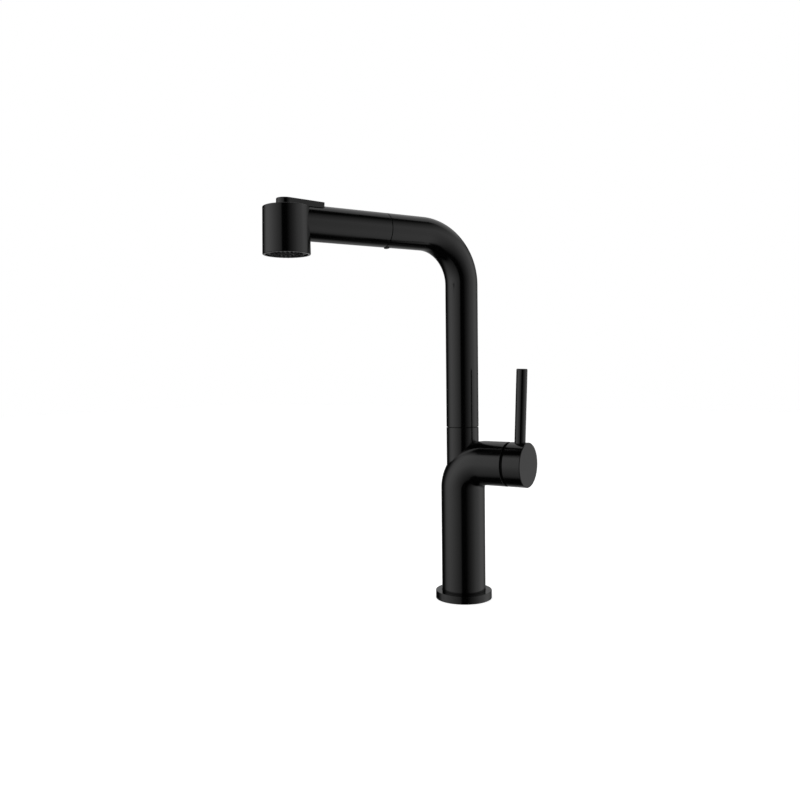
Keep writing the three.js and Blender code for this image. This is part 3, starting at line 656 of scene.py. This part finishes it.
def threadPiece(name, root, crest, bottom, top, pitch, steps=40, sunk=0.15, half=0.45):
    # a three-cornered rib wound round the core, with its foot sunk in the core
    deselectAll()
    bpy.ops.mesh.primitive_circle_add(vertices=3, radius=0.5 * pitch * mm, location=(0, 0, 0))
    piece = named(name)
    corners = [(root - sunk, -half * pitch), (root - sunk, half * pitch), (crest, 0)]
    for point, (radius, height) in zip(piece.data.vertices, corners):
        point.co = (radius * mm, 0, (bottom + pitch / 2 + height) * mm)
    turns = int((top - bottom - pitch) / pitch)
    applyModifier(piece, "SCREW", angle=2 * math.pi, screw_offset=pitch * mm, iterations=turns, steps=steps,
                  render_steps=steps, use_merge_vertices=False)
    editAll(piece)
    bpy.ops.mesh.fill_holes(sides=3)
    return cleaned(piece)


def makeFixing():
    c, s = clamp, shank
    rubber = soften(ringPiece("clampRubber", c["bore"], c["radius"], *c["rubber"]), 0.4)
    finishPiece(rubber, "black_rubber", "body", "clamp_rubber")
    plate = soften(ringPiece("clampPlate", c["bore"], c["radius"], *c["plate"]), 0.2, 2)
    finishPiece(plate, "steel", "body", "clamp_washer")
    nut = soften(hexPiece("clampNut", c["acrossFlats"], c["bore"], *c["nut"]), 0.15, 2, 35)
    finishPiece(nut, "brass", "body", "shank_nut")
    shoulder = s["threadTop"] + s["runOut"]
    core = turned("threadedShank", [
        (s["bore"], s["foot"]), (s["core"] - s["edge"], s["foot"]), (s["core"], s["foot"] + s["footEdge"]),
        (s["core"], s["threadTop"]), (s["crest"], shoulder), (s["crest"], s["head"] - s["edge"]),
        (s["crest"] - s["edge"], s["head"]), (s["bore"], s["head"]), (s["bore"], s["foot"])])
    rib = threadPiece("shankThread", s["core"], s["crest"], s["foot"] + s["edge"], shoulder, s["pitch"])
    joinPieces(core, rib)
    finishPiece(core, "brass", "body", "threaded_shank", angle=35)


makeFixing()

tail = {"hex": 14, "top": -66.3, "hexLength": 9, "length": 20, "radius": 5.5, "core": 5.0, "bore": 2.6,
        "boreDepth": 4, "lead": 0.4, "leadLength": 0.6, "sunk": 0.2, "pitch": 1.0}


def makeHoseTail():
    t = tail
    head = soften(hexPiece("hoseTail", t["hex"], 0, t["top"] - t["hexLength"], t["top"]), 0.12, 2, 35)
    foot = t["top"] - t["length"]
    shoulder = t["top"] - t["hexLength"]
    boreEnd = foot + t["boreDepth"]
    stem = turned("hoseTailStem", [
        (0, boreEnd), (t["bore"], boreEnd), (t["bore"], foot), (t["core"] - t["lead"], foot),
        (t["core"], foot + t["leadLength"]), (t["core"], shoulder + t["sunk"]), (0, shoulder + t["sunk"])])
    rib = threadPiece("hoseTailThread", t["core"], t["radius"], foot + t["lead"], shoulder, t["pitch"], 32)
    joinPieces(head, stem, rib)
    finishPiece(head, "brass", "body", "hose_tail", angle=35)


makeHoseTail()
print("base and fixing ready")


# the upright body with its side barrel and neck
bodyShape = {"radius": 21.75, "bore": 17.9, "foot": 7.3, "bend": 26, "height": 136.5, "reach": 50.2,
             "endEdge": 0.5, "neckRadius": 16, "neckFoot": 116.5, "neckTop": 171.4, "neckEdge": 0.4,
             "neckBreak": 0.12, "floor": 26, "shankHole": 16.8, "spigotHole": 11.3, "washerSeat": 14.8,
             "washerDepth": 1.8, "domeSeat": 20.1, "domeSeatStart": 48.0}


def makeBody():
    b = bodyShape
    piece = bentPiece("mixerBody", b["radius"], b["foot"], b["bend"], b["height"], b["reach"],
                      sides=128, steps=48)
    bevelEdges(piece, b["endEdge"], 3, lambda p, q: min(p.x, q.x) > b["reach"] - near)
    neck = turned("mixerNeck", [
        (0, b["neckFoot"]), (b["neckRadius"], b["neckFoot"]), (b["neckRadius"], b["neckTop"] - b["neckEdge"]),
        (b["neckRadius"] - b["neckBreak"], b["neckTop"] - b["neckBreak"]),
        (b["neckRadius"] - b["neckEdge"], b["neckTop"]), (0, b["neckTop"])], steps=128)
    combine(piece, neck, "UNION")
    bore = bentPiece("bodyBore", b["bore"], b["floor"], b["bend"], b["height"], b["reach"] + farPast)
    combine(piece, bore)
    above = b["neckTop"] + farPast
    combine(piece, rodPiece("shankHole", b["shankHole"], b["foot"] - farPast, b["floor"] + farPast))
    combine(piece, rodPiece("spigotHole", b["spigotHole"], b["height"], above))
    combine(piece, rodPiece("washerSeat", b["washerSeat"], b["neckTop"] - b["washerDepth"], above))
    seat = rodPiece("domeSeat", b["domeSeat"], 0, b["reach"] + farPast - b["domeSeatStart"])
    combine(piece, moved(seat, along(b["domeSeatStart"], b["height"])))
    cleaned(piece)
    finishPiece(piece, "satin_black", "body", "body_shell")


makeBody()
print("body ready")


# the handle: dome, cap, rod and grub screw
handle = {"height": 136.5, "pivot": 37.0, "start": 52.6, "end": 71.0, "radius": 21.65, "rearEdge": 0.4,
          "faceEdge": 0.6, "faceRound": 0.15, "recess": 25.79, "socket": 4.3, "socketEnd": 66.0}
dome = {"radius": 24.19, "wall": 1.6, "rim": 19.8, "back": 48.3, "opening": 13.8, "edgeIn": 0.1}
lever = {"radius": 5.3, "reach": 62.1, "lean": 2.06, "top": 92.2, "sink": 3.9, "tip": 0.6, "tipRound": 0.2,
         "holeGap": 0.15, "holeFloor": 0.3, "holeTop": 12}
capScrew = {"reach": 64.3, "radius": 2.0, "hole": 2.3, "head": -16, "end": -4.25, "holeEnd": -4,
            "headEdge": 0.3, "tip": 0.5, "key": 1.25, "keyDepth": 2.5}


def leverPlace():
    lean = Matrix.Rotation(math.radians(lever["lean"]), 4, "Y")
    return at(lever["reach"], handle["height"] + handle["radius"]) @ lean


def makeDome():
    d = dome
    opening = math.degrees(math.asin(d["opening"] / d["radius"]))
    seated = math.degrees(math.asin((d["rim"] - d["edgeIn"]) / d["radius"]))
    outside = arcPoints(d["radius"], handle["pivot"], seated, opening, 12)
    inside = arcPoints(d["radius"] - d["wall"], handle["pivot"], opening, seated, 12)
    foot = (d["rim"] - d["wall"], d["back"])
    piece = turned("cartridgeDome", [foot, (d["rim"], d["back"]), *outside, *inside, foot], steps=96)
    moved(piece, along(0, handle["height"]))
    finishPiece(piece, "satin_black", "body", "dome_cover")
    # painted shade: a duller, less glossy copy of the black coat on the dome, so that the groove beside the
    # cap stays dark as the shade of a deeper groove would keep it
    piece.data.materials[0] = newMaterial("grooveShadeBlackCoat", grainGroup, {
        "Color": grey(0.0008), "Speck Color": grey(0.003), "Grain Size": 0.0004, "Specks": 0.6,
        "Roughness": 0.5, "Unevenness": 0.04}, 0.06, 0.00003, {"Specular IOR Level": 0.12})


def makeHandle():
    h = handle
    opening = math.degrees(math.acos((h["start"] - h["pivot"]) / h["recess"]))
    piece = turned("handleCap", [
        *arcPoints(h["recess"], h["pivot"], 0, opening, 24),
        (h["radius"] - h["rearEdge"], h["start"]), (h["radius"], h["start"] + h["rearEdge"]),
        (h["radius"], h["end"] - h["faceEdge"]), (h["radius"] - h["faceEdge"], h["end"]),
        (0, h["end"])], steps=128)
    bevelEdges(piece, h["faceRound"], 2, lambda p, q: min(p.z, q.z) > h["end"] - h["faceEdge"] - near
               and abs(p.z - q.z) < near and math.hypot(p.x, p.y) > h["radius"] / 2)
    moved(piece, along(0, h["height"]))
    v = lever
    rodHole = rodPiece("rodHole", v["radius"] + v["holeGap"], -v["sink"] - v["holeFloor"], v["holeTop"])
    combine(piece, moved(rodHole, leverPlace()))
    socket = rodPiece("spindleSocket", h["socket"], h["pivot"], h["socketEnd"], 32)
    combine(piece, moved(socket, along(0, h["height"])))
    hole = rodPiece("screwHole", capScrew["hole"], -h["radius"] - past, capScrew["holeEnd"], 32)
    combine(piece, moved(hole, at(capScrew["reach"], h["height"])))
    cleaned(piece)
    finishPiece(piece, "satin_black", "handle", "handle_cap")


def makeLever():
    v = lever
    length = (v["top"] - handle["radius"]) / math.cos(math.radians(v["lean"]))
    piece = turned("leverRod", [(0, -v["sink"]), (v["radius"], -v["sink"]), (v["radius"], length - v["tip"]),
                                (v["radius"] - v["tip"], length), (0, length)], steps=64)
    bevelEdges(piece, v["tipRound"], 3, lambda p, q: min(p.z, q.z) > length - v["tip"] - near
               and abs(p.z - q.z) < near and math.hypot(p.x, p.y) > v["radius"] / 2)
    moved(piece, leverPlace())
    finishPiece(piece, "satin_black", "handle", "lever_rod")


def makeCapScrew():
    c = capScrew
    piece = turned("grubScrew", [
        (0, c["head"]), (c["radius"] - c["headEdge"], c["head"]), (c["radius"], c["head"] + c["headEdge"]),
        (c["radius"], c["end"] - c["tip"]), (c["radius"] - c["tip"], c["end"]), (0, c["end"])], 32)
    deselectAll()
    bpy.ops.mesh.primitive_cylinder_add(vertices=6, radius=c["key"] * mm, depth=2 * c["keyDepth"] * mm,
                                        location=(0, 0, c["head"] * mm))
    combine(piece, moved(named("keySocket"), Matrix.Identity(4)))
    moved(piece, at(c["reach"], handle["height"]))
    finishPiece(piece, "steel", "handle", "cap_screw")


makeDome()
makeHandle()
makeLever()
makeCapScrew()
print("handle ready")


# the spout, its collar, the head's stub and the hose
spout = {"radius": 16, "wall": 1.4, "foot": 172.0, "bend": 47, "height": 359.6, "end": 87.7, "turn": -116.4,
         "edge": 0.22, "keyWidth": 5, "keyLength": 4, "keyGap": 0.3, "notchTop": 8}
spoutTurn = Matrix.Rotation(math.radians(spout["turn"]), 4, "Z")


def makeSpout():
    s = spout
    piece = bentPiece("swivelSpout", s["radius"], s["foot"], s["bend"], s["height"], s["end"], capped=False,
                      sides=128, steps=56)
    applyModifier(piece, "SOLIDIFY", thickness=s["wall"] * mm, offset=-1, use_even_offset=True)
    soften(piece, s["edge"], 2, 60)
    half = s["keyWidth"] / 2 + s["keyGap"]
    below = s["height"] - s["radius"] - farPast
    notch = blockPiece("keyNotch", (s["end"] - s["keyLength"] - s["keyGap"], -half, below),
                       (s["end"] + farPast, half, s["height"] - s["notchTop"]))
    combine(piece, notch)
    cleaned(piece)
    moved(piece, spoutTurn)
    finishPiece(piece, "satin_black", "spout", "spout_tube")


collar = {"bore": 10.5, "outer": 14.3, "start": 70, "end": 87.2, "keyRise": 1}


def makeCollar():
    c = collar
    piece = ringPiece("dockingCollar", c["bore"], c["outer"], c["start"], c["end"])
    soften(piece, 0.3, 2)
    moved(piece, along(0, spout["height"]))
    half = spout["keyWidth"] / 2
    key = blockPiece("dockingKey", (spout["end"] - spout["keyLength"], -half,
                                    spout["height"] - spout["radius"] - c["keyRise"]),
                     (c["end"], half, spout["height"] + c["keyRise"] - c["outer"]))
    soften(key, 0.5, 3)
    combine(piece, key, "UNION")
    moved(piece, spoutTurn)
    finishPiece(piece, "black_plastic", "spout", "docking_collar")


tenon = {"bore": 7.8, "stub": 10.2, "flange": 13.9, "start": 72, "flangeStart": 89, "end": 93, "lead": 0.8}


def makeTenon():
    # the head's stub, which slides into the collar
    t = tenon
    piece = turned("dockingTenon", [
        (t["bore"], t["start"]), (t["stub"] - t["lead"], t["start"]), (t["stub"], t["start"] + t["lead"]),
        (t["stub"], t["flangeStart"]), (t["flange"], t["flangeStart"]), (t["flange"], t["end"]),
        (t["bore"], t["end"]), (t["bore"], t["start"])])
    soften(piece, 0.2, 2)
    moved(piece, spoutTurn @ along(0, spout["height"]))
    finishPiece(piece, "black_plastic", "spray_head", "docking_tenon")


hose = {"radius": 6.5, "foot": -66, "end": 112, "step": 2.5, "roundness": 8, "stretchFrom": 22,
        "stretchTo": 101}


def makeHose():
    h = hose
    bend, top = spout["bend"], spout["height"]
    rise = top - bend - h["foot"]
    arc = bend * math.pi / 2
    total = rise + arc + h["end"] - bend
    count = int(total / h["step"])

    def pathPoint(i):
        run = total * i / count
        if run < rise:
            return (0, 0, h["foot"] + run)
        if run < rise + arc:
            angle = (run - rise) / bend
            return (bend - bend * math.cos(angle), 0, top - bend + bend * math.sin(angle))
        return (bend + run - rise - arc, 0, top)

    deselectAll()
    bpy.ops.curve.primitive_bezier_curve_add(location=(0, 0, 0))
    piece = named("braidedHose")
    curve = piece.data
    curve.splines.clear()
    spline = curve.splines.new("POLY")
    spline.points.add(count)
    for i, point in enumerate(spline.points):
        point.co = (*[value * mm for value in pathPoint(i)], 1)
    curve.dimensions = "3D"
    curve.bevel_depth = h["radius"] * mm
    curve.bevel_resolution = h["roundness"]
    curve.use_fill_caps = True
    useOnly(piece)
    bpy.ops.object.convert(target="MESH")
    piece = bpy.context.object
    wrap = piece.data.uv_layers[0]
    wrap.name = "hoseWrap"
    # along the hose in metres, round it in turns
    for corner in wrap.data:
        corner.uv = (corner.uv[0] * total * mm, corner.uv[1])
    moved(piece, spoutTurn)
    smoothed(piece)
    piece.data.materials.clear()
    piece.data.materials.append(finishes["hose_braid"])
    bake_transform(piece)
    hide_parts("pullout_hose")


makeSpout()
makeCollar()
makeTenon()
makeHose()
print("spout ready")


# the spray head, its button and what water leaves by
# the lug on the head and its slot in the button: half length, half width, rise above the pin
head = {"reach": 187, "radius": 21.1, "topRadius": 20.6, "bottom": 330.4, "top": 372.0, "edge": 0.7,
        "cavity": 18.7, "ceiling": 366.0, "start": 88.3, "armRadius": 16, "armHeight": 359.6,
        "wideBore": 14.2, "wideBoreEnd": 138, "narrowBore": 9.5, "narrowIn": 2, "pocketFloor": 370.6,
        "pocketGap": 0.4, "pocketTool": 20, "well": 5.1, "wellDepth": 3.2, "stemHole": 2.8,
        "lug": (2, 2.5, 1.5)}
button = {"radius": 8.7, "back": 153.6, "pivot": 157.5, "pivotHeight": 374.95, "rise": 2.9, "drop": 3.2,
          "tilt": 2.2, "corner": 0.8, "edge": 0.45, "slot": (2.6, 2.9, 1.9), "pin": 1.3, "lugPin": 4,
          "buttonPin": 6.8, "springSeat": 5.6, "springSeatDepth": 0.5}
onHeadAxis = at(head["reach"], 0)


def stadium(name, bottom, top, allowance=0.0):
    # round at the front on the head's axis, square with small corners at the back
    b = button
    radius = b["radius"] + allowance
    back = b["back"] - allowance
    deselectAll()
    bpy.ops.mesh.primitive_circle_add(vertices=96, radius=radius * mm)
    piece = moved(named(name), at(head["reach"], bottom))
    selectPart(piece, "vertices", lambda p: p.x < head["reach"] - near)
    bpy.ops.mesh.delete(type="VERT")
    bpy.ops.object.mode_set(mode="OBJECT")
    selectPart(piece, "vertices", lambda p: p.x < head["reach"] + near)
    extrudeBy(back - head["reach"], 0, 0)
    bpy.ops.mesh.select_all(action="SELECT")
    bpy.ops.mesh.edge_face_add()
    extrudeBy(0, 0, top - bottom)
    cleaned(piece)
    bevelEdges(piece, b["corner"], 5, lambda p, q: max(p.x, q.x) < back + near and abs(p.y - q.y) < near)
    return piece


def makeHead():
    h, b = head, button
    piece = turned("sprayHead", [(0, h["bottom"]), (h["radius"], h["bottom"]), (h["topRadius"], h["top"]),
                                 (0, h["top"])], steps=128)
    soften(piece, h["edge"], 5, 60)
    moved(piece, onHeadAxis)
    arm = rodPiece("headArm", h["armRadius"], h["start"], h["reach"], 128)
    bevelEdges(arm, spout["edge"], 2, lambda p, q: max(p.z, q.z) < h["start"] + near)
    combine(piece, moved(arm, along(0, h["armHeight"])), "UNION")
    wide = rodPiece("headWideBore", h["wideBore"], h["start"] - farPast, h["wideBoreEnd"])
    combine(piece, moved(wide, along(0, h["armHeight"])))
    narrow = rodPiece("headNarrowBore", h["narrowBore"], h["wideBoreEnd"] - past,
                      h["reach"] - h["cavity"] + h["narrowIn"])
    combine(piece, moved(narrow, along(0, h["armHeight"])))
    floor = h["pocketFloor"]
    cavity = rodPiece("headCavity", h["cavity"], h["bottom"] - farPast, h["ceiling"], 128)
    combine(piece, moved(cavity, onHeadAxis))
    combine(piece, stadium("buttonPocket", floor, h["top"] + h["pocketTool"], h["pocketGap"]))
    well = rodPiece("springWell", h["well"], floor - h["wellDepth"], floor + past, 48)
    combine(piece, moved(well, onHeadAxis))
    combine(piece, moved(rodPiece("stemHole", h["stemHole"], h["ceiling"] - past, floor, 32), onHeadAxis))
    length, width, rise = h["lug"]
    lug = blockPiece("buttonLug", (b["pivot"] - length, -width, floor - past),
                     (b["pivot"] + length, width, b["pivotHeight"] + rise))
    pinHole = rodPiece("pinHole", b["pin"], -b["lugPin"], b["lugPin"], 24)
    combine(lug, moved(pinHole, pinTurn(b["pivot"], b["pivotHeight"])))
    combine(piece, lug, "UNION")
    cleaned(piece)
    moved(piece, spoutTurn)
    finishPiece(piece, "satin_black", "spray_head", "head_shell")


def makeButton():
    b = button
    piece = stadium("modeButton", b["pivotHeight"] - b["drop"], b["pivotHeight"] + b["rise"])
    soften(piece, b["edge"], 4, 50)
    underside = b["pivotHeight"] - b["drop"]
    length, width, rise = b["slot"]
    slot = blockPiece("lugSlot", (b["pivot"] - length, -width, underside - past),
                      (b["pivot"] + length, width, b["pivotHeight"] + rise))
    combine(piece, slot)
    # a seat for the spring's top coil
    seat = rodPiece("springSeat", b["springSeat"], underside - past, underside + b["springSeatDepth"], 48)
    combine(piece, moved(seat, onHeadAxis))
    pinHole = rodPiece("buttonPinHole", b["pin"], -b["buttonPin"], b["buttonPin"], 24)
    combine(piece, moved(pinHole, pinTurn(b["pivot"], b["pivotHeight"])))
    cleaned(piece)
    place = at(b["pivot"], b["pivotHeight"])
    moved(piece, spoutTurn @ place @ Matrix.Rotation(math.radians(-b["tilt"]), 4, "Y") @ place.inverted())
    finishPiece(piece, "satin_black", "mode_button", "button_plate")


# the plate's rim slopes between two insets and steps up, and a nozzle is a lip round a narrow bore
nozzles = {"plate": (331.0, 333.8), "mat": (334.1, 335.6), "aeratorHole": 7.3, "radius": 1.1, "tip": 329.4,
           "circles": [(13.0, 21), (9.2, 15)], "outer": 18.4, "rim": (1.6, 1.1, 0.5), "holeGap": 0.2,
           "bore": 0.4, "boreDepth": 1.4, "lip": 0.45, "lipRise": 0.1, "mouth": 0.55, "edge": 0.8,
           "side": 0.92, "sideRise": 0.12, "depth": 1.6, "sunk": 0.2, "aeratorGap": 0.3}


def nozzlePlaces():
    for radius, count in nozzles["circles"]:
        for i in range(count):
            angle = 2 * math.pi * i / count
            yield Matrix.Translation((radius * math.cos(angle) * mm, radius * math.sin(angle) * mm, 0))


def makeNozzles():
    n = nozzles
    bottom, top = n["plate"]
    slopeStart, slopeEnd, step = n["rim"]
    plate = turned("nozzlePlate", [
        (n["aeratorHole"], bottom), (n["outer"] - slopeStart, bottom), (n["outer"] - slopeEnd, bottom + step),
        (n["outer"], bottom + step), (n["outer"], top), (n["aeratorHole"], top), (n["aeratorHole"], bottom)])
    soften(plate, 0.15, 2)
    holes = [moved(rodPiece("nozzleHole", n["radius"] + n["holeGap"], bottom - past, top + past, 16), place)
             for place in nozzlePlaces()]
    combine(plate, joinPieces(holes[0], *holes[1:]))
    moved(plate, spoutTurn @ onHeadAxis)
    finishPiece(plate, "black_plastic", "spray_head", "nozzle_plate")
    low, high = n["mat"]
    mat = ringPiece("nozzleMat", n["aeratorHole"] + n["aeratorGap"], n["outer"], low, high)
    tip, r = n["tip"], n["radius"]
    outline = [(0, tip + n["depth"]), (n["bore"], tip + n["boreDepth"]), (n["lip"], tip + n["lipRise"]),
               (n["mouth"], tip), (n["edge"], tip), (n["side"], tip + n["sideRise"]), (r, tip + n["depth"]),
               (r, high - n["sunk"]), (0, high - n["sunk"])]
    nubs = [moved(turned("nozzleNub", outline, 20), place) for place in nozzlePlaces()]
    joinPieces(mat, *nubs)
    moved(mat, spoutTurn @ onHeadAxis)
    finishPiece(mat, "black_rubber", "spray_head", "nozzle_mat")


# screens: height and turn of each; lid: how far past the bore, its foot and top below the rim;
# slot: how far past the bore it starts, and its half width, which is also its depth
aerator = {"radius": 7.0, "bottom": 330.6, "top": 335.3, "inner": 5.4, "cell": 1.1, "cells": 11, "wire": 0.4,
           "screens": ((0.9, 0), (2.3, 45)), "screenIn": 0.35, "lid": (0.4, 1.2, 0.3), "slot": (0.5, 0.8)}


def makeAerator():
    a = aerator
    piece = ringPiece("aeratorInsert", a["inner"], a["radius"], a["bottom"], a["top"])
    soften(piece, 0.25, 2)
    cells = a["cells"]
    for rise, angle in a["screens"]:
        deselectAll()
        bpy.ops.mesh.primitive_grid_add(x_subdivisions=cells, y_subdivisions=cells,
                                        size=cells * a["cell"] * mm)
        turn = Matrix.Rotation(math.radians(angle), 4, "Z")
        mesh = moved(named("aeratorGrid"), at(0, a["bottom"] + rise) @ turn)
        selectPart(mesh, "polygons", lambda c, normal: math.hypot(c.x, c.y) > a["inner"] + a["screenIn"])
        bpy.ops.mesh.delete(type="FACE")
        applyModifier(mesh, "WIREFRAME", thickness=a["wire"] * mm, use_even_offset=False)
        joinPieces(piece, mesh)
    out, foot, top = a["lid"]
    lid = rodPiece("aeratorLid", a["inner"] + out, a["top"] - foot, a["top"] - top, 48)
    joinPieces(piece, lid)
    start, half = a["slot"]
    for side in (-1, 1):
        low, high = sorted((side * (a["inner"] + start), side * (a["radius"] + past)))
        slot = blockPiece("coinSlot", (low, -half, a["bottom"] - past), (high, half, a["bottom"] + half))
        combine(piece, slot)
    moved(piece, spoutTurn @ onHeadAxis)
    finishPiece(piece, "black_plastic", "spray_head", "aerator")


makeHead()
makeButton()
makeNozzles()
makeAerator()
print("spray head ready")


studioFloor = {"size": 8.0, "color": 0.85, "paler": 0.03, "glow": 0.72}


def makeFloor():
    deselectAll()
    bpy.ops.mesh.primitive_plane_add(size=studioFloor["size"], location=(0, 0, 0))
    piece = named("studioFloor")
    material = bpy.data.materials.new("paleFloor")
    material.use_nodes = True
    tree = material.node_tree
    principled = tree.nodes["Principled BSDF"]
    place = addNode(tree, "ShaderNodeTexCoord").outputs["Object"]
    pale = studioFloor["color"]
    stops = [(0.3, grey(pale)), (0.7, grey(pale + studioFloor["paler"]))]
    tint = rampNode(tree, noiseNode(tree, place, 3.0), stops)
    tree.links.new(tint, principled.inputs["Base Color"])
    principled.inputs["Roughness"].default_value = 0.8
    principled.inputs["Emission Color"].default_value = (1, 1, 1, 1)
    principled.inputs["Emission Strength"].default_value = studioFloor["glow"]
    piece.data.materials.append(material)
    piece.visible_glossy = False


makeFloor()
deselectAll()
